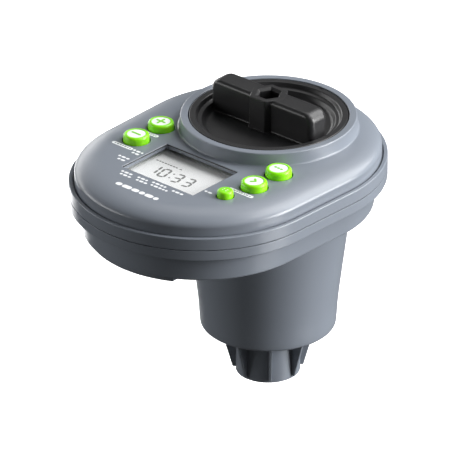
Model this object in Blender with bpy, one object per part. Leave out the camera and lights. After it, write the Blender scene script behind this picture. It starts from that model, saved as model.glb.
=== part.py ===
"""Irrigation controller: battery timer that screws onto a valve in place of its solenoid.

Frame: metres, +Z up, origin at the middle of the neck's lower end, where the controller
seats on the valve. The display end points to -Y, +X is to the right of someone who reads
the display. Every size is given in millimetres and turned into metres by the builders.
"""
import math

import bmesh
import bpy
from mathutils import Vector

MM = 0.001
GAP = 0.3                       # room between pieces that touch on the real object

# Plan outline: two arcs joined by straight sides.
BACK_RADIUS = 48.6
BACK_Y = -7.85
FRONT_RADIUS = 47.8
FRONT_Y = -37.1
ARC_STEPS = 18

# Heights.
WEB_BOTTOM = 16.0               # roof of the valve socket
CUP_FLOOR = 22.2
CUP_BOTTOM = 20.0
TRAY_BOTTOM = 74.0
BAND_BOTTOM = 84.4
PARTING = 88.5
BAND_TOP = 93.2
FACE = 100.3
RING_TOP = 105.2
GRIP_TOP = 113.6
WALL = 2.4

# Battery cap and the ring around it.
RING_RADIUS = 32.2
SOCKET_RADIUS = 29.4
TUBE_BORE = 27.2
TUBE_OUTER = 30.2
CAP_RADIUS = 29.05
SEAT = 101.2                    # counterbore floor under the cap's flange
FLANGE_BOTTOM = 102.7
CAP_FLOOR = 101.1

# Face layout.
WINDOW_X = -0.9                 # the display sits a little left of the middle
WINDOW_HALF_X = 17.1
WINDOW_Y = -47.3
WINDOW_HALF_Y = 12.1
WINDOW_DEPTH = 2.1
WINDOW_LIP = 2.0                # how far the lens reaches under the housing
BUTTON_X = 28.4
BUTTON_UPPER_Y = -27.0
BUTTON_LOWER_Y = -40.3
BUTTON_RADIUS = 4.86
BUTTON_TOP = 103.0
SMALL_BUTTON_X = 25.1
SMALL_BUTTON_Y = -52.1
SMALL_BUTTON_RADIUS = 3.0
BUTTON_CLEARANCE = 0.34
BUTTON_FLANGE = 1.24            # rim that keeps a button in its hole
DISC_RADIUS = 3.4

# Neck and gussets.
NECK_RADIUS = 12.0
NECK_BORE = 9.5
GUSSETS = 8
GUSSET_HALF = 0.5
GUSSET_REACH = 18.6

# Inside.
BOARD_BOTTOM = 88.8
BOARD_TOP = 90.4
CELL_RADIUS = 7.25
CELL_OFFSET = 7.9
HOLDER_BOTTOM = 37.6
HOLDER_TOP = 97.0

ROUND = 32                      # sides of the large turned pieces
SMALL_ROUND = 16


# ---------------------------------------------------------------- helpers

def clear_scene():
    for item in list(bpy.data.objects):
        bpy.data.objects.remove(item, do_unlink=True)


def material(name, colour, roughness, metallic=0.0, alpha=1.0):
    finish = bpy.data.materials.new(name)
    finish.use_nodes = True
    shader = finish.node_tree.nodes["Principled BSDF"]
    shader.inputs["Base Color"].default_value = (*colour, 1.0)
    shader.inputs["Roughness"].default_value = roughness
    shader.inputs["Metallic"].default_value = metallic
    shader.inputs["Alpha"].default_value = alpha
    return finish


def new_object(name, mesh_data, finish, origin=(0.0, 0.0, 0.0)):
    """Wraps a bmesh made in millimetres as an object whose origin is at the given point."""
    bmesh.ops.recalc_face_normals(mesh_data, faces=mesh_data.faces)
    offset = Vector(origin)
    for vertex in mesh_data.verts:
        vertex.co = (vertex.co - offset) * MM
    mesh = bpy.data.meshes.new(name)
    mesh_data.to_mesh(mesh)
    mesh_data.free()
    mesh.shade_smooth()
    mesh.set_sharp_from_angle(angle=math.radians(32))
    if finish is not None:
        mesh.materials.append(finish)
    item = bpy.data.objects.new(name, mesh)
    item.location = offset * MM
    bpy.context.scene.collection.objects.link(item)
    return item


def loft(loops, closed=False):
    """Skins a list of equal point loops; closed joins the last loop to the first."""
    mesh_data = bmesh.new()
    rows = [[mesh_data.verts.new(point) for point in loop] for loop in loops]
    count = len(rows[0])
    pairs = list(zip(rows, rows[1:]))
    if closed:
        pairs.append((rows[-1], rows[0]))
    for low, high in pairs:
        for i in range(count):
            j = (i + 1) % count
            mesh_data.faces.new((low[i], low[j], high[j], high[i]))
    if not closed:
        mesh_data.faces.new(list(reversed(rows[0])))
        mesh_data.faces.new(rows[-1])
    return mesh_data


def circle(radius, z, sides, centre=(0.0, 0.0)):
    step = 2 * math.pi / sides
    return [
        (centre[0] + radius * math.cos(i * step), centre[1] + radius * math.sin(i * step), z)
        for i in range(sides)
    ]


def turned(profile, sides=SMALL_ROUND, centre=(0.0, 0.0)):
    """Solid of revolution from (radius, z) points; a first and last point are its end caps."""
    return loft([circle(radius, z, sides, centre) for radius, z in profile])


def turned_ring(profile, sides=SMALL_ROUND, centre=(0.0, 0.0)):
    """Hollow solid of revolution from a closed (radius, z) outline."""
    return loft([circle(radius, z, sides, centre) for radius, z in profile], closed=True)


def prism(outline, bottom, top):
    return loft([[(x, y, z) for x, y in outline] for z in (bottom, top)])


def rectangle(half_x, half_y, centre=(0.0, 0.0)):
    corners = ((-1, -1), (1, -1), (1, 1), (-1, 1))
    return [(centre[0] + sx * half_x, centre[1] + sy * half_y) for sx, sy in corners]


def rounded_rectangle(half_x, half_y, radius, steps=4, centre=(0.0, 0.0)):
    points = []
    for quarter, (sx, sy) in enumerate(((1, 1), (-1, 1), (-1, -1), (1, -1))):
        for i in range(steps + 1):
            angle = math.pi / 2 * (quarter + i / steps)
            x = sx * (half_x - radius) + radius * math.cos(angle)
            y = sy * (half_y - radius) + radius * math.sin(angle)
            points.append((centre[0] + x, centre[1] + y))
    return points


def rounded_hexagon(corner_radius, edge_rounding, steps=3):
    """Hexagon with corners towards +X, its corners rounded."""
    inner = corner_radius - edge_rounding / math.cos(math.radians(30))
    points = []
    for corner in range(6):
        centre_angle = math.radians(60 * corner)
        for i in range(steps + 1):
            angle = centre_angle + math.radians(-30 + 60 * i / steps)
            x = inner * math.cos(centre_angle) + edge_rounding * math.cos(angle)
            y = inner * math.sin(centre_angle) + edge_rounding * math.sin(angle)
            points.append((x, y))
    return points


def plan(offset=0.0, steps=ARC_STEPS):
    """The housing's outline moved outwards by offset: back arc, side, front arc, side."""
    lean = math.asin((BACK_RADIUS - FRONT_RADIUS) / (BACK_Y - FRONT_Y))
    points = []
    for i in range(steps + 1):
        angle = -lean + (math.pi + 2 * lean) * i / steps
        radius = BACK_RADIUS + offset
        points.append((radius * math.cos(angle), BACK_Y + radius * math.sin(angle)))
    for i in range(steps + 1):
        angle = math.pi + lean + (math.pi - 2 * lean) * i / steps
        radius = FRONT_RADIUS + offset
        points.append((radius * math.cos(angle), FRONT_Y + radius * math.sin(angle)))
    return points


def plan_loft(profile, closed=False):
    """Skins plan outlines from (offset, z) pairs."""
    return loft([[(x, y, z) for x, y in plan(offset)] for offset, z in profile], closed)


def quarter_round(start, depth, rise, steps):
    """(offset, z) points of an elliptic shoulder that starts upright and ends level."""
    offset, z = start
    points = []
    for i in range(1, steps + 1):
        angle = math.pi / 2 * i / steps
        points.append((offset - depth * (1 - math.cos(angle)), z + rise * math.sin(angle)))
    return points


def modify(target, tool, operation):
    """Cuts or joins with a guide object that stays hidden."""
    tool.hide_render = True
    tool.display_type = "WIRE"
    tool.hide_set(True)
    step = target.modifiers.new(tool.name, "BOOLEAN")
    step.operation = operation
    step.solver = "EXACT"
    step.object = tool


def cut(target, mesh_data, label):
    modify(target, new_object(target.name + "_cut_" + label, mesh_data, None), "DIFFERENCE")


def fuse(target, mesh_data, label):
    modify(target, new_object(target.name + "_add_" + label, mesh_data, None), "UNION")


def tube(name, route, radius, finish, points=20):
    """Lead along a smooth curve through the route's points."""
    curve = bpy.data.curves.new(name, "CURVE")
    curve.dimensions = "3D"
    curve.bevel_depth = radius * MM
    curve.bevel_resolution = 1
    curve.use_fill_caps = True
    spline = curve.splines.new("POLY")
    smooth = catmull_rom(route, points)
    spline.points.add(len(smooth) - 1)
    for target, point in zip(spline.points, smooth):
        target.co = (*(Vector(point) * MM), 1.0)
    curve.materials.append(finish)
    item = bpy.data.objects.new(name, curve)
    bpy.context.scene.collection.objects.link(item)
    return item


def catmull_rom(route, count):
    nodes = [Vector(point) for point in route]
    nodes = [nodes[0] * 2 - nodes[1]] + nodes + [nodes[-1] * 2 - nodes[-2]]
    spans = len(nodes) - 3
    points = []
    for i in range(count):
        position = spans * i / (count - 1)
        span = min(int(position), spans - 1)
        t = position - span
        a, b, c, d = nodes[span:span + 4]
        points.append(
            0.5 * (2 * b + (c - a) * t + (2 * a - 5 * b + 4 * c - d) * t ** 2
                   + (3 * b - a - 3 * c + d) * t ** 3)
        )
    return points


# ---------------------------------------------------------------- housings

SCREW_PLACES = ((38.0, -8.0), (-38.0, -8.0), (27.2, -62.6), (-27.2, -62.6))
POST_RADIUS = 3.4
POST_BORE = 1.75
POST_BOTTOM = 84.6
SCREW_HEAD_TOP = 76.7           # floor of the counterbore under each screw's head
SCREW_HEAD_HOLE = 3.1
SHOULDER_DEPTH = 11.5           # the top's rounded shoulder, inwards and upwards
SHOULDER_RISE = 4.1
DOME_OFFSET = -2.15             # foot of the shoulder, inside the band
LEDGE = BAND_TOP - 0.6


def button_places():
    """Name, x, y and radius of each button."""
    return (
        ("button_plus", -BUTTON_X, BUTTON_UPPER_Y, BUTTON_RADIUS),
        ("button_minus", -BUTTON_X, BUTTON_LOWER_Y, BUTTON_RADIUS),
        ("button_set", BUTTON_X, BUTTON_UPPER_Y, BUTTON_RADIUS),
        ("button_next", BUTTON_X, BUTTON_LOWER_Y, BUTTON_RADIUS),
        ("button_mode", SMALL_BUTTON_X, SMALL_BUTTON_Y, SMALL_BUTTON_RADIUS),
    )


def upper_housing(finish):
    inner_roof = FACE - WALL
    foot = (DOME_OFFSET, FACE - SHOULDER_RISE)
    outer = [(0.0, PARTING + GAP / 2), (0.0, BAND_TOP - 0.4), (-0.4, BAND_TOP), (-1.6, BAND_TOP)]
    outer += [(-1.7, LEDGE), (-2.1, LEDGE), foot]
    outer += quarter_round(foot, SHOULDER_DEPTH, SHOULDER_RISE, 6)
    inner = [(-WALL, PARTING + GAP / 2), (-WALL, 90.4), (-4.6, 91.2), (-4.7, inner_roof - 2.6)]
    inner += quarter_round((-4.7, inner_roof - 2.6), 9.5, 2.6, 3)
    body = new_object("upper_housing", plan_loft(list(reversed(inner)) + outer), finish)

    cut(body, turned([(TUBE_BORE + 1.5, 95.0), (TUBE_BORE + 1.5, 104.0)], ROUND), "well")
    collar = [
        (TUBE_BORE, 86.0), (TUBE_OUTER, 86.0), (TUBE_OUTER, FACE - 1.2),
        (RING_RADIUS + 0.6, FACE - 1.0), (RING_RADIUS + 0.6, FACE + 0.9),
        (RING_RADIUS, RING_TOP - 0.5), (RING_RADIUS - 0.5, RING_TOP),
        (SOCKET_RADIUS, RING_TOP), (SOCKET_RADIUS, SEAT), (TUBE_BORE, SEAT),
    ]
    fuse(body, turned_ring(collar, ROUND), "collar")
    for index, (x, y) in enumerate(SCREW_PLACES):
        post = turned([(POST_RADIUS, POST_BOTTOM), (POST_RADIUS, FACE - 1.5)], 16, (x, y))
        fuse(body, post, f"post_{index}")
    for index, (x, y) in enumerate(SCREW_PLACES):
        bore = turned([(POST_BORE, 80.0), (POST_BORE, 96.0)], 12, (x, y))
        cut(body, bore, f"bore_{index}")
    room = WINDOW_LIP + 0.4
    pocket = rectangle(WINDOW_HALF_X + room, WINDOW_HALF_Y + room, (WINDOW_X, WINDOW_Y))
    cut(body, prism(pocket, 90.0, FACE - WINDOW_DEPTH + GAP), "pocket")
    opening = rectangle(WINDOW_HALF_X, WINDOW_HALF_Y, (WINDOW_X, WINDOW_Y))
    cut(body, prism(opening, 90.0, 110.0), "opening")
    for name, x, y, radius in button_places():
        wide = radius + BUTTON_CLEARANCE
        cut(body, turned([(wide, 94.0), (wide, 110.0)], SMALL_ROUND, (x, y)), name)
    return body


PAD_HALF_WIDTH = 19.5
PAD_FRONT_RADIUS = 41.6
PAD_BACK_Y = -58.0
PAD_BOTTOM = 72.0


def pad_outline(inset):
    """Pad under the display end: a front arc concentric with the housing, a straight back."""
    half = PAD_HALF_WIDTH - inset
    radius = PAD_FRONT_RADIUS - inset
    spread = math.asin(half / radius)
    points = []
    for i in range(13):
        angle = -math.pi / 2 - spread + 2 * spread * i / 12
        points.append((radius * math.cos(angle), FRONT_Y + radius * math.sin(angle)))
    points.append((half, PAD_BACK_Y - inset))
    points.append((-half, PAD_BACK_Y - inset))
    return points


def lower_housing(finish):
    outer = [(0.0, PARTING - GAP / 2), (0.0, BAND_BOTTOM + 0.4), (-0.4, BAND_BOTTOM)]
    outer += [(-4.2, BAND_BOTTOM), (-4.7, TRAY_BOTTOM + 0.9), (-4.95, TRAY_BOTTOM + 0.25)]
    outer += [(-5.6, TRAY_BOTTOM)]
    inner = [(-WALL, PARTING - GAP / 2), (-WALL, 86.6), (-6.6, 86.2), (-7.0, TRAY_BOTTOM + WALL)]
    body = new_object("lower_housing", plan_loft(list(reversed(outer)) + inner), finish)

    rows = ((0.0, 75.0), (0.0, PAD_BOTTOM + 1.0), (0.35, PAD_BOTTOM + 0.3), (1.1, PAD_BOTTOM))
    pad = loft([[(x, y, z) for x, y in pad_outline(inset)] for inset, z in rows])
    fuse(body, pad, "pad")
    for index, (x, y) in enumerate(SCREW_PLACES):
        boss = turned([(POST_RADIUS, 75.0), (POST_RADIUS, POST_BOTTOM - GAP)], 16, (x, y))
        fuse(body, boss, f"boss_{index}")
    cut(body, turned([(31.6, 70.0), (31.6, 80.0)], ROUND), "cup")
    for index, (x, y) in enumerate(SCREW_PLACES):
        hole = [(SCREW_HEAD_HOLE, 70.0), (SCREW_HEAD_HOLE, SCREW_HEAD_TOP)]
        hole += [(POST_BORE, SCREW_HEAD_TOP), (POST_BORE, 90.0)]
        cut(body, turned(hole, 12, (x, y)), f"hole_{index}")
    return body


def gusset(angle):
    """Thin web between the neck and the cup's floor, tapering towards the neck's end."""
    section = [
        (NECK_RADIUS - 1.0, 1.2), (12.9, 1.2), (13.4, 1.7), (GUSSET_REACH, CUP_BOTTOM + 0.8),
        (NECK_RADIUS - 1.0, CUP_BOTTOM + 0.8),
    ]
    direction = Vector((math.cos(angle), math.sin(angle), 0.0))
    across = Vector((-direction.y, direction.x, 0.0)) * GUSSET_HALF
    loops = []
    for side in (-1, 1):
        loops.append([direction * r + across * side + Vector((0, 0, z)) for r, z in section])
    return loft(loops)


def cup_housing(finish):
    profile = [
        (NECK_BORE, 0.0), (NECK_RADIUS - 0.4, 0.0), (NECK_RADIUS, 0.4),
        (NECK_RADIUS, CUP_BOTTOM), (23.6, CUP_BOTTOM), (24.7, CUP_BOTTOM + 0.5),
        (25.1, CUP_BOTTOM + 1.5), (26.1, 33.0), (28.6, 53.8), (31.2, TRAY_BOTTOM),
        (31.3, 76.7), (33.2, 76.7), (33.2, 78.7), (29.4, 78.7), (26.4, 53.8), (23.9, 33.0),
        (22.9, CUP_FLOOR), (5.8, CUP_FLOOR), (5.8, WEB_BOTTOM), (NECK_BORE, WEB_BOTTOM),
    ]
    body = new_object("cup_housing", turned_ring(profile, ROUND), finish)
    for index in range(GUSSETS):
        fuse(body, gusset(2 * math.pi * index / GUSSETS), f"gusset_{index}")
    return body


def housing_seal(finish):
    profile = [(-2.8, 87.0), (-4.3, 87.0), (-4.3, 89.8), (-2.8, 89.8)]
    return new_object("housing_seal", plan_loft(profile, closed=True), finish)


def housing_screws(finish):
    """Self-tapping screws that go up through the lower housing into the upper one."""
    seat = SCREW_HEAD_TOP - GAP
    head = [(0.7, seat - 2.2), (2.7, seat - 2.2), (2.7, seat), (1.45, seat)]
    head += [(1.45, 92.0), (0.6, 93.5)]
    for index, (x, y) in enumerate(SCREW_PLACES, start=1):
        new_object(f"housing_screw_{index}", turned(head, 12, (x, y)), finish)


# ---------------------------------------------------------------- battery cap

GRIP_HALF_WIDTH = 4.75
GRIP_HALF_LENGTH = 24.3
GRIP_ROUNDING = 2.2
GRIP_END_ROUNDING = 3.0
BOSS_CORNER = 7.7
HEX_KEY_CORNER = 4.2
SKIRT_RADIUS = 26.6
SKIRT_BOTTOM = 94.0


def grip_bar():
    """Bar across the cap, its top edges rounded, running down into the bowl's floor."""
    loops = [rounded_rectangle(GRIP_HALF_LENGTH, GRIP_HALF_WIDTH, 1.5)]
    heights = [CAP_FLOOR - 0.9]
    for i in range(5):
        angle = math.pi / 2 * i / 4
        length = GRIP_HALF_LENGTH - 0.1 - GRIP_END_ROUNDING * (1 - math.cos(angle))
        width = GRIP_HALF_WIDTH - 0.1 - GRIP_ROUNDING * (1 - math.cos(angle))
        loops.append(rounded_rectangle(length, width, 1.4))
        heights.append(GRIP_TOP - GRIP_ROUNDING * (1 - math.sin(angle)))
    return loft([[(x, y, z) for x, y in loop] for loop, z in zip(loops, heights)])


def hexagon_loft(rows, edge_rounding, steps=3):
    """Skins hexagons from (corner radius, z) rows."""
    return loft([
        [(x, y, z) for x, y in rounded_hexagon(radius, edge_rounding, steps)]
        for radius, z in rows
    ])


def battery_cap(finish):
    rim = RING_TOP - 0.1
    bowl = [
        (0.5, 98.9), (24.2, 98.9), (24.2, SKIRT_BOTTOM), (SKIRT_RADIUS, SKIRT_BOTTOM),
        (SKIRT_RADIUS, FLANGE_BOTTOM), (CAP_RADIUS, FLANGE_BOTTOM), (CAP_RADIUS, rim - 0.25),
        (CAP_RADIUS - 0.3, rim), (26.8, rim), (26.2, rim - 0.4), (25.4, 103.4), (24.3, 103.1),
        (23.6, 102.2), (22.7, 101.4), (21.2, CAP_FLOOR), (0.5, CAP_FLOOR),
    ]
    body = new_object("battery_cap", turned(bowl, ROUND), finish)
    fuse(body, grip_bar(), "grip")
    rows = ((BOSS_CORNER, 100.0), (BOSS_CORNER - 0.3, GRIP_TOP - 0.4))
    rows += ((BOSS_CORNER - 0.7, GRIP_TOP + 0.02),)
    fuse(body, hexagon_loft(rows, 0.9), "boss")
    rows = ((HEX_KEY_CORNER, 103.5), (HEX_KEY_CORNER, GRIP_TOP - 0.9))
    rows += ((HEX_KEY_CORNER + 1.2, GRIP_TOP + 0.3),)
    cut(body, hexagon_loft(rows, 0.1, 1), "socket")
    return body


def cap_seal(finish):
    middle = 28.3
    thickness = 0.46
    section = [
        (middle + 1.3 * thickness * math.cos(math.pi / 2 * i),
         (SEAT + FLANGE_BOTTOM) / 2 + thickness * math.sin(math.pi / 2 * i))
        for i in range(4)
    ]
    return new_object("cap_seal", turned_ring(section, ROUND), finish)


# ---------------------------------------------------------------- buttons

ROOF_UNDERSIDE = FACE - WALL
STEM_BOTTOM = 94.2


def button_foot(stem, radius):
    """(radius, z) points of a button's stem and of the rim under the housing's roof."""
    rim = radius + BUTTON_FLANGE
    return [
        (0.5, STEM_BOTTOM), (stem, STEM_BOTTOM), (stem, ROOF_UNDERSIDE - 1.0),
        (rim, ROOF_UNDERSIDE - 1.0), (rim, ROOF_UNDERSIDE - GAP), (radius, ROOF_UNDERSIDE - GAP),
    ]


def large_button(name, x, y, green, white):
    recess = DISC_RADIUS + GAP
    profile = button_foot(2.2, BUTTON_RADIUS) + [
        (BUTTON_RADIUS, BUTTON_TOP - 0.9), (BUTTON_RADIUS - 0.3, BUTTON_TOP - 0.25),
        (BUTTON_RADIUS - 0.8, BUTTON_TOP), (recess, BUTTON_TOP), (recess, BUTTON_TOP - 1.1),
        (0.5, BUTTON_TOP - 1.1),
    ]
    mesh_data = turned(profile, SMALL_ROUND, (x, y))
    new_object(name, mesh_data, green, (x, y, BUTTON_TOP))
    disc = [(DISC_RADIUS, BUTTON_TOP - 0.8), (DISC_RADIUS, BUTTON_TOP)]
    mesh_data = turned(disc, SMALL_ROUND, (x, y))
    new_object(name + "_disc", mesh_data, white, (x, y, BUTTON_TOP))


def small_button(name, x, y, green):
    top = BUTTON_TOP - 0.2
    profile = button_foot(1.8, SMALL_BUTTON_RADIUS) + [
        (SMALL_BUTTON_RADIUS, top - 0.8), (SMALL_BUTTON_RADIUS - 0.3, top - 0.2),
        (SMALL_BUTTON_RADIUS - 0.8, top), (0.5, top),
    ]
    new_object(name, turned(profile, SMALL_ROUND, (x, y)), green, (x, y, top))


def switch_boot(name, x, y, finish):
    """Rubber dome that closes the contact under a button and pushes the button back."""
    base = BOARD_TOP + GAP
    top = STEM_BOTTOM - GAP
    profile = [
        (3.0, base), (3.9, base), (3.9, base + 0.7), (2.4, top), (0.5, top), (0.5, top - 0.7),
        (1.7, top - 0.7), (3.0, base + 0.6),
    ]
    new_object(name, turned_ring(profile, 10, (x, y)), finish)


def buttons(green, white, rubber):
    for name, x, y, radius in button_places():
        if radius == BUTTON_RADIUS:
            large_button(name, x, y, green, white)
        else:
            small_button(name, x, y, green)
        switch_boot(name + "_boot", x, y, rubber)


# ---------------------------------------------------------------- display and board

LENS_TOP = FACE - WINDOW_DEPTH
LENS_THICKNESS = 1.5
PANEL_TOP = LENS_TOP - LENS_THICKNESS - GAP
PANEL_THICKNESS = 1.8
PANEL_LIP = 1.2


def window_outline(margin):
    """The display opening's rectangle, larger by the margin on every side."""
    return rectangle(WINDOW_HALF_X + margin, WINDOW_HALF_Y + margin, (WINDOW_X, WINDOW_Y))


def display(clear, lcd_grey, dark, rubber):
    """Lens under the opening, liquid crystal panel, the frame that holds it, contact strip."""
    lens = prism(window_outline(WINDOW_LIP), LENS_TOP - LENS_THICKNESS, LENS_TOP)
    new_object("display_window", lens, clear)
    panel_bottom = PANEL_TOP - PANEL_THICKNESS
    new_object("lcd_panel", prism(window_outline(PANEL_LIP), panel_bottom, PANEL_TOP), lcd_grey)

    frame = prism(window_outline(PANEL_LIP + 2.0), BOARD_TOP + 0.6, PANEL_TOP)
    item = new_object("lcd_frame", frame, dark)
    seat = prism(window_outline(PANEL_LIP + GAP), panel_bottom - GAP, PANEL_TOP + 3.0)
    cut(item, seat, "seat")
    cut(item, prism(window_outline(-0.6), 85.0, PANEL_TOP + 3.0), "inside")
    strip_place = (WINDOW_X, WINDOW_Y + WINDOW_HALF_Y - 2.6)
    strip = rectangle(WINDOW_HALF_X - 2.0, 1.2, strip_place)
    strip_body = prism(strip, BOARD_TOP + GAP, panel_bottom - GAP)
    new_object("lcd_contact_strip", strip_body, rubber)


def circuit_board(finish):
    mesh_data = prism(plan(-8.2, 16), BOARD_BOTTOM, BOARD_TOP)
    body = new_object("circuit_board", mesh_data, finish)
    cut(body, turned([(31.4, 80.0), (31.4, 95.0)], ROUND), "tube")
    cut(body, prism(rectangle(70.0, 60.0, (0.0, -19.0 + 60.0)), 80.0, 95.0), "back")
    for index, (x, y) in enumerate(SCREW_PLACES[2:]):
        cut(body, turned([(4.0, 80.0), (4.0, 95.0)], 16, (x, y)), f"post_{index}")
    return body


def board_parts(black, metal, white):
    under = BOARD_BOTTOM - GAP
    chip = prism(rectangle(5.0, 5.0, (4.0, -46.0)), under - 1.4, under)
    new_object("controller_chip", chip, black)
    can = turned([(3.15, under - 5.6), (3.15, under)], 16, (-14.0, -44.0))
    new_object("storage_capacitor", can, metal)
    plug = prism(rectangle(6.0, 2.6, (0.0, -36.0)), under - 5.2, under)
    new_object("wire_connector", plug, white)


# ---------------------------------------------------------------- battery holder

def cell_places():
    """Name, x, y of each cell and whether its positive end is up."""
    signs = ((1, 1, True), (-1, 1, False), (-1, -1, True), (1, -1, False))
    return [
        (f"cell_{i}", CELL_OFFSET * sx, CELL_OFFSET * sy, up)
        for i, (sx, sy, up) in enumerate(signs, start=1)
    ]


LOWER_PLATE_TOP = HOLDER_BOTTOM + 1.6
UPPER_PLATE_BOTTOM = HOLDER_TOP - 1.8
CONTACT = 0.4
CELL_LENGTH = 50.5
SPRING_HEIGHT = 3.2


def battery_holder(finish):
    plate = turned([(20.0, HOLDER_BOTTOM), (20.0, LOWER_PLATE_TOP)], ROUND)
    body = new_object("battery_holder", plate, finish)
    lid = turned([(20.0, UPPER_PLATE_BOTTOM), (20.0, HOLDER_TOP)], ROUND)
    fuse(body, lid, "lid")
    post = rectangle(1.2, 1.2)
    fuse(body, prism(post, LOWER_PLATE_TOP - 0.5, UPPER_PLATE_BOTTOM + 0.5), "post")
    web = [(19.0, 0.35), (0.35, 0.35), (0.35, 19.0), (-0.35, 19.0), (-0.35, 0.35), (-19.0, 0.35)]
    web += [(-x, -y) for x, y in web]
    fuse(body, prism(web, LOWER_PLATE_TOP + 1.2, UPPER_PLATE_BOTTOM - 1.2), "web")
    return body


def cells(jacket):
    nub = 1.2
    low = LOWER_PLATE_TOP + GAP + CONTACT + GAP
    for name, x, y, up in cell_places():
        profile = [(2.6, 0.0), (2.6, nub), (CELL_RADIUS - 0.6, nub), (CELL_RADIUS, nub + 0.6)]
        profile += [(CELL_RADIUS, CELL_LENGTH - 0.5), (CELL_RADIUS - 0.5, CELL_LENGTH)]
        base = low
        if up:
            profile = [(radius, CELL_LENGTH - z) for radius, z in reversed(profile)]
            base = low + SPRING_HEIGHT + GAP
        placed = [(radius, z + base) for radius, z in profile]
        new_object(name, turned(placed, 16, (x, y)), jacket)


def contact_plates(metal):
    """Plates that join the cells in series: two above, a bridge and two ends below."""
    low = LOWER_PLATE_TOP + GAP
    high = UPPER_PLATE_BOTTOM - GAP
    half = 3.4
    reach = CELL_OFFSET + half
    for name, y in (("contact_top_front", -CELL_OFFSET), ("contact_top_back", CELL_OFFSET)):
        plate = prism(rectangle(reach, half, (0.0, y)), high - CONTACT, high)
        new_object(name, plate, metal)
    bridge = prism(rectangle(half, reach, (-CELL_OFFSET, 0.0)), low, low + CONTACT)
    new_object("contact_bottom_bridge", bridge, metal)
    for name, y in (("contact_bottom_back", CELL_OFFSET), ("contact_bottom_front", -CELL_OFFSET)):
        plate = prism(rectangle(half, half, (CELL_OFFSET, y)), low, low + CONTACT)
        new_object(name, plate, metal)


def helix(name, centre, bottom, height, radii, wire, turns, finish, per_turn=10, sides=5):
    """Coil spring with a round wire; radii are those of its first and last turn."""
    count = int(turns * per_turn) + 1
    loops = []
    for i in range(count):
        share = i / (count - 1)
        angle = 2 * math.pi * turns * share
        radius = radii[0] + (radii[1] - radii[0]) * share
        z = bottom + wire + (height - 2 * wire) * share
        outward = Vector((math.cos(angle), math.sin(angle), 0.0))
        middle = Vector((centre[0], centre[1], z)) + outward * radius
        ring = []
        for k in range(sides):
            turn = 2 * math.pi * k / sides
            lift = Vector((0.0, 0.0, wire * math.sin(turn)))
            ring.append(middle + outward * wire * math.cos(turn) + lift)
        loops.append(ring)
    return new_object(name, loft(loops), finish)


def cell_springs(metal):
    low = LOWER_PLATE_TOP + GAP + CONTACT + GAP
    high = UPPER_PLATE_BOTTOM - GAP - CONTACT - GAP
    for name, x, y, up in cell_places():
        bottom = low if up else high - SPRING_HEIGHT
        radii = (4.6, 2.6) if up else (2.6, 4.6)
        helix(name + "_spring", (x, y), bottom, SPRING_HEIGHT, radii, 0.3, 2.0, metal, 8, 4)


# ---------------------------------------------------------------- solenoid actuator

TUBE_R = 5.2
PLUNGER_RADIUS = 4.0
PLUNGER_BOTTOM = 11.5
PLUNGER_TOP = 22.6
CORE_BOTTOM = 27.4


def solenoid(steel, plastic, copper, dark, brass, rubber):
    can = [
        (5.7, CUP_FLOOR + GAP), (14.0, CUP_FLOOR + GAP), (14.0, 34.0), (12.6, 34.0),
        (12.6, CUP_FLOOR + GAP + 1.4), (5.7, CUP_FLOOR + GAP + 1.4),
    ]
    new_object("solenoid_can", turned_ring(can, SMALL_ROUND), steel)
    low = CUP_FLOOR + GAP + 1.4 + GAP
    spool = [
        (5.6, low), (12.0, low), (12.0, low + 0.9), (6.4, low + 0.9), (6.4, 31.9),
        (12.0, 31.9), (12.0, 32.8), (5.6, 32.8),
    ]
    new_object("coil_bobbin", turned_ring(spool, SMALL_ROUND), plastic)
    winding = [(6.7, low + 1.2), (11.4, low + 1.2), (11.4, 31.6), (6.7, 31.6)]
    new_object("coil_winding", turned_ring(winding, SMALL_ROUND), copper)
    foot = PLUNGER_BOTTOM - 0.5
    guide = [(4.4, foot), (TUBE_R, foot), (TUBE_R, 34.0), (4.4, 34.0)]
    new_object("guide_tube", turned_ring(guide, SMALL_ROUND), brass)
    core = [(3.9, CORE_BOTTOM), (3.9, 34.0 + GAP), (7.0, 34.0 + GAP), (7.0, 35.4)]
    new_object("fixed_core", turned(core, SMALL_ROUND), steel)
    magnet = [(6.5, 35.7), (6.5, 37.2)]
    new_object("latch_magnet", turned(magnet, SMALL_ROUND), dark)
    body = [(PLUNGER_RADIUS - 0.5, PLUNGER_BOTTOM), (PLUNGER_RADIUS, PLUNGER_BOTTOM + 0.5)]
    body += [(PLUNGER_RADIUS, PLUNGER_TOP - 0.4), (PLUNGER_RADIUS - 0.4, PLUNGER_TOP)]
    new_object("plunger", turned(body, 16), steel)
    tip = [(2.7, 8.9), (3.1, 9.3), (3.1, PLUNGER_BOTTOM - GAP)]
    new_object("plunger_seal", turned(tip, 16), rubber)
    helix(
        "plunger_spring", (0.0, 0.0), PLUNGER_TOP + GAP, CORE_BOTTOM - PLUNGER_TOP - 2 * GAP,
        (2.8, 2.8), 0.25, 4.0, steel, 9, 4,
    )
    high = WEB_BOTTOM - GAP
    ring = [(5.7, high - 1.8), (9.1, high - 1.8), (9.1, high), (5.7, high)]
    new_object("valve_seal", turned_ring(ring, SMALL_ROUND), rubber)


def leads(red, black):
    connector_low = BOARD_BOTTOM - GAP - 5.2 - GAP
    battery = [(-3.0, -36.0, connector_low), (-3.0, -36.0, 81.0), (-3.0, -31.5, 80.4),
               (-3.0, -25.5, 79.0), (-3.0, -23.2, 70.0), (-3.0, -22.5, 50.0), (-3.0, -21.6, 40.0)]
    tube("battery_lead", battery, 0.7, red)
    coil = [(3.0, -36.0, connector_low), (3.0, -36.0, 81.0), (3.0, -31.5, 80.4),
            (3.0, -25.5, 79.0), (3.0, -23.2, 70.0), (3.0, -22.0, 45.0), (3.0, -19.5, 33.0),
            (3.0, -15.2, 30.0)]
    tube("coil_lead", coil, 0.7, black)


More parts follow.
